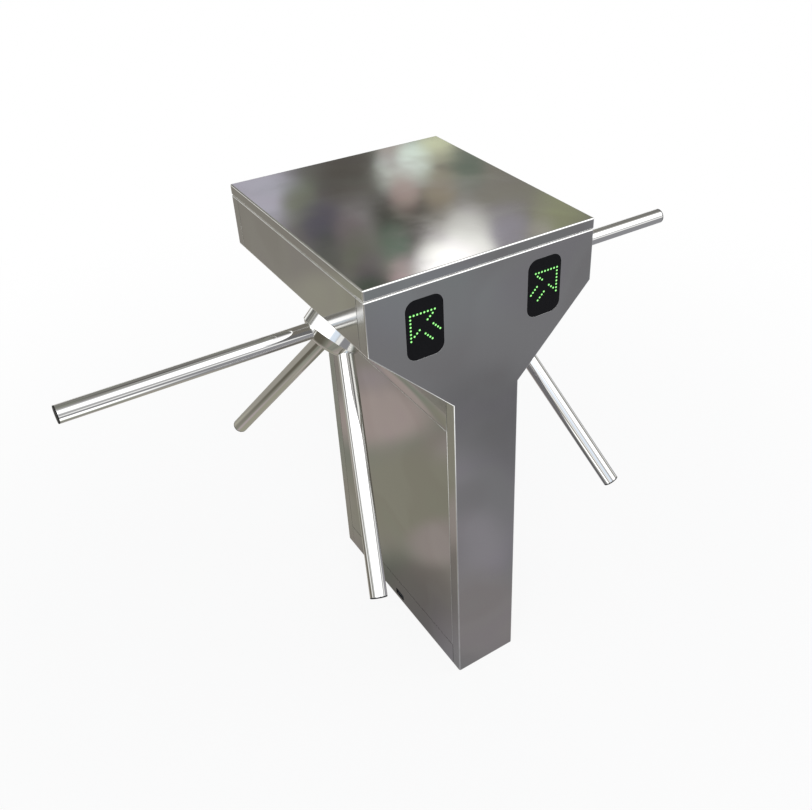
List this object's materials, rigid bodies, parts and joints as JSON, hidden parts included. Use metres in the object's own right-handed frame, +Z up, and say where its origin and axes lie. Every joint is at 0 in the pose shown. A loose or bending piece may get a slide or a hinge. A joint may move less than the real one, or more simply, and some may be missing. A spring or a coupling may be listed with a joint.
{
  "type": "tripod turnstile",
  "caption": "Double tripod turnstile: T-shaped stainless cabinet on a narrow column, a three-arm rotor on each sloping flank and lit arrow displays on the front.",
  "frame": {"origin": "on the floor, at the middle of the column's footprint", "axes": "+Z up; -Y towards the face with the two arrow displays; +X towards the right-hand rotor as seen facing the displays"},
  "size_m": [1.385, 0.6814, 1.05],
  "materials": {
    "satin_steel": "brushed",
    "polished_tube": "polished",
    "polished_hub": "polished",
    "frame_steel": "satin",
    "zinc_steel": "satin",
    "bearing_steel": "polished",
    "cast_housing": "satin",
    "black_oxide": "satin",
    "brass_gear": "satin",
    "plug_rubber": "matt",
    "smoked_window": "gloss",
    "lamp_green": "gloss",
    "circuit_board": "satin",
    "black_plastic": "matt",
    "nylon": "satin",
    "supply_case": "satin",
    "pawl_steel": "satin"
  },
  "bodies": {
    "housing": {"base_plate": "frame_steel", "front_frame": "frame_steel", "rear_frame": "frame_steel", "cross_rails": "frame_steel", "front_panel": "satin_steel", "rear_panel": "satin_steel", "left_side_sheet": "satin_steel", "right_side_sheet": "satin_steel", "plinth_strips": "satin_steel", "display_windows": "smoked_window", "arrow_lamps": "lamp_green", "lamp_boards": "circuit_board", "mechanism_plates": "zinc_steel", "bearing_housings": "cast_housing", "shaft_bearings": "bearing_steel", "solenoids": "black_oxide", "solenoid_brackets": "zinc_steel", "pawl_posts": "zinc_steel", "rotary_dampers": "black_oxide", "damper_brackets": "zinc_steel", "position_sensors": "black_plastic", "mechanism_screws": "black_oxide", "equipment_plate": "zinc_steel", "power_supply": "supply_case", "control_board": "circuit_board", "wiring_loom": "plug_rubber", "lid_hinge_leaves": "zinc_steel", "lid_lock_barrel": "bearing_steel"},
    "lid": {"lid": "satin_steel", "lid_hinge_straps": "zinc_steel"},
    "lid_lock_cam": {"lid_lock_cam": "brass_gear"},
    "left_door": {"left_door": "satin_steel"},
    "right_door": {"right_door": "satin_steel"},
    "left_rotor": {"left_hub": "polished_hub", "left_shaft": "bearing_steel", "left_arm_side": "polished_tube", "left_arm_front": "polished_tube", "left_arm_rear": "polished_tube", "left_arm_plugs": "plug_rubber", "left_index_disc": "pawl_steel", "left_rotor_gear": "brass_gear"},
    "left_damper_pinion": {"left_damper_pinion": "nylon"},
    "left_front_pawl": {"left_front_pawl": "pawl_steel"},
    "left_front_plunger": {"left_front_plunger": "bearing_steel"},
    "left_rear_pawl": {"left_rear_pawl": "pawl_steel"},
    "left_rear_plunger": {"left_rear_plunger": "bearing_steel"},
    "right_rotor": {"right_hub": "polished_hub", "right_shaft": "bearing_steel", "right_arm_side": "polished_tube", "right_arm_front": "polished_tube", "right_arm_rear": "polished_tube", "right_arm_plugs": "plug_rubber", "right_index_disc": "pawl_steel", "right_rotor_gear": "brass_gear"},
    "right_damper_pinion": {"right_damper_pinion": "nylon"},
    "right_front_pawl": {"right_front_pawl": "pawl_steel"},
    "right_front_plunger": {"right_front_plunger": "bearing_steel"},
    "right_rear_pawl": {"right_rear_pawl": "pawl_steel"},
    "right_rear_plunger": {"right_rear_plunger": "bearing_steel"}
  },
  "joints": [
    {"name": "lid_hinge", "type": "hinge", "parent": "housing", "child": "lid", "pos_m": [0, 0.2713, 1.02825], "axis": [-1, 0, 0], "range_deg": [0, 85]},
    {"name": "lid_lock_turn", "type": "hinge", "parent": "housing", "child": "lid_lock_cam", "pos_m": [0.241, -0.15, 0.998], "axis": [-1, 0, 0], "range_deg": [0, 90]},
    {"name": "left_door_pull", "type": "slide", "parent": "housing", "child": "left_door", "axis": [-1, 0, 0], "range_m": [0, 0.06]},
    {"name": "right_door_pull", "type": "slide", "parent": "housing", "child": "right_door", "axis": [1, 0, 0], "range_m": [0, 0.06]},
    {"name": "left_rotor_turn", "type": "hinge", "parent": "housing", "child": "left_rotor", "pos_m": [-0.1575, 0, 0.8395], "axis": [-0.7071, 0, -0.7071], "continuous": true},
    {"name": "left_damper_turn", "type": "hinge", "parent": "housing", "child": "left_damper_pinion", "pos_m": [-0.108, 0, 0.95688], "axis": [-0.7071, 0, -0.7071], "continuous": true},
    {"name": "left_front_pawl_swing", "type": "hinge", "parent": "housing", "child": "left_front_pawl", "pos_m": [-0.11083, -0.07, 0.93425], "axis": [0.7071, 0, 0.7071], "range_deg": [0, 8], "stiffness_Nm_per_rad": 0.4, "springref_deg": -14.32},
    {"name": "left_front_plunger_travel", "type": "slide", "parent": "housing", "child": "left_front_plunger", "axis": [0, 1, 0], "range_m": [0, 0.009]},
    {"name": "left_rear_pawl_swing", "type": "hinge", "parent": "housing", "child": "left_rear_pawl", "pos_m": [-0.11083, 0.07, 0.93425], "axis": [-0.7071, 0, -0.7071], "range_deg": [0, 8], "stiffness_Nm_per_rad": 0.4, "springref_deg": -14.32},
    {"name": "left_rear_plunger_travel", "type": "slide", "parent": "housing", "child": "left_rear_plunger", "axis": [0, -1, 0], "range_m": [0, 0.009]},
    {"name": "right_rotor_turn", "type": "hinge", "parent": "housing", "child": "right_rotor", "pos_m": [0.1575, 0, 0.8395], "axis": [0.7071, 0, -0.7071], "continuous": true},
    {"name": "right_damper_turn", "type": "hinge", "parent": "housing", "child": "right_damper_pinion", "pos_m": [0.108, 0, 0.95688], "axis": [0.7071, 0, -0.7071], "continuous": true},
    {"name": "right_front_pawl_swing", "type": "hinge", "parent": "housing", "child": "right_front_pawl", "pos_m": [0.11083, -0.07, 0.93425], "axis": [0.7071, 0, -0.7071], "range_deg": [0, 8], "stiffness_Nm_per_rad": 0.4, "springref_deg": -14.32},
    {"name": "right_front_plunger_travel", "type": "slide", "parent": "housing", "child": "right_front_plunger", "axis": [0, 1, 0], "range_m": [0, 0.009]},
    {"name": "right_rear_pawl_swing", "type": "hinge", "parent": "housing", "child": "right_rear_pawl", "pos_m": [0.11083, 0.07, 0.93425], "axis": [-0.7071, 0, 0.7071], "range_deg": [0, 8], "stiffness_Nm_per_rad": 0.4, "springref_deg": -14.32},
    {"name": "right_rear_plunger_travel", "type": "slide", "parent": "housing", "child": "right_rear_plunger", "axis": [0, -1, 0], "range_m": [0, 0.009]}
  ],
  "couplings": [
    {"joint": "left_damper_turn", "follows": "left_rotor_turn", "ratio": -3},
    {"joint": "left_front_plunger_travel", "follows": "left_front_pawl_swing", "m_per_rad": 0.064},
    {"joint": "left_rear_plunger_travel", "follows": "left_rear_pawl_swing", "m_per_rad": 0.064},
    {"joint": "right_damper_turn", "follows": "right_rotor_turn", "ratio": -3},
    {"joint": "right_front_plunger_travel", "follows": "right_front_pawl_swing", "m_per_rad": 0.064},
    {"joint": "right_rear_plunger_travel", "follows": "right_rear_pawl_swing", "m_per_rad": 0.064}
  ]
}
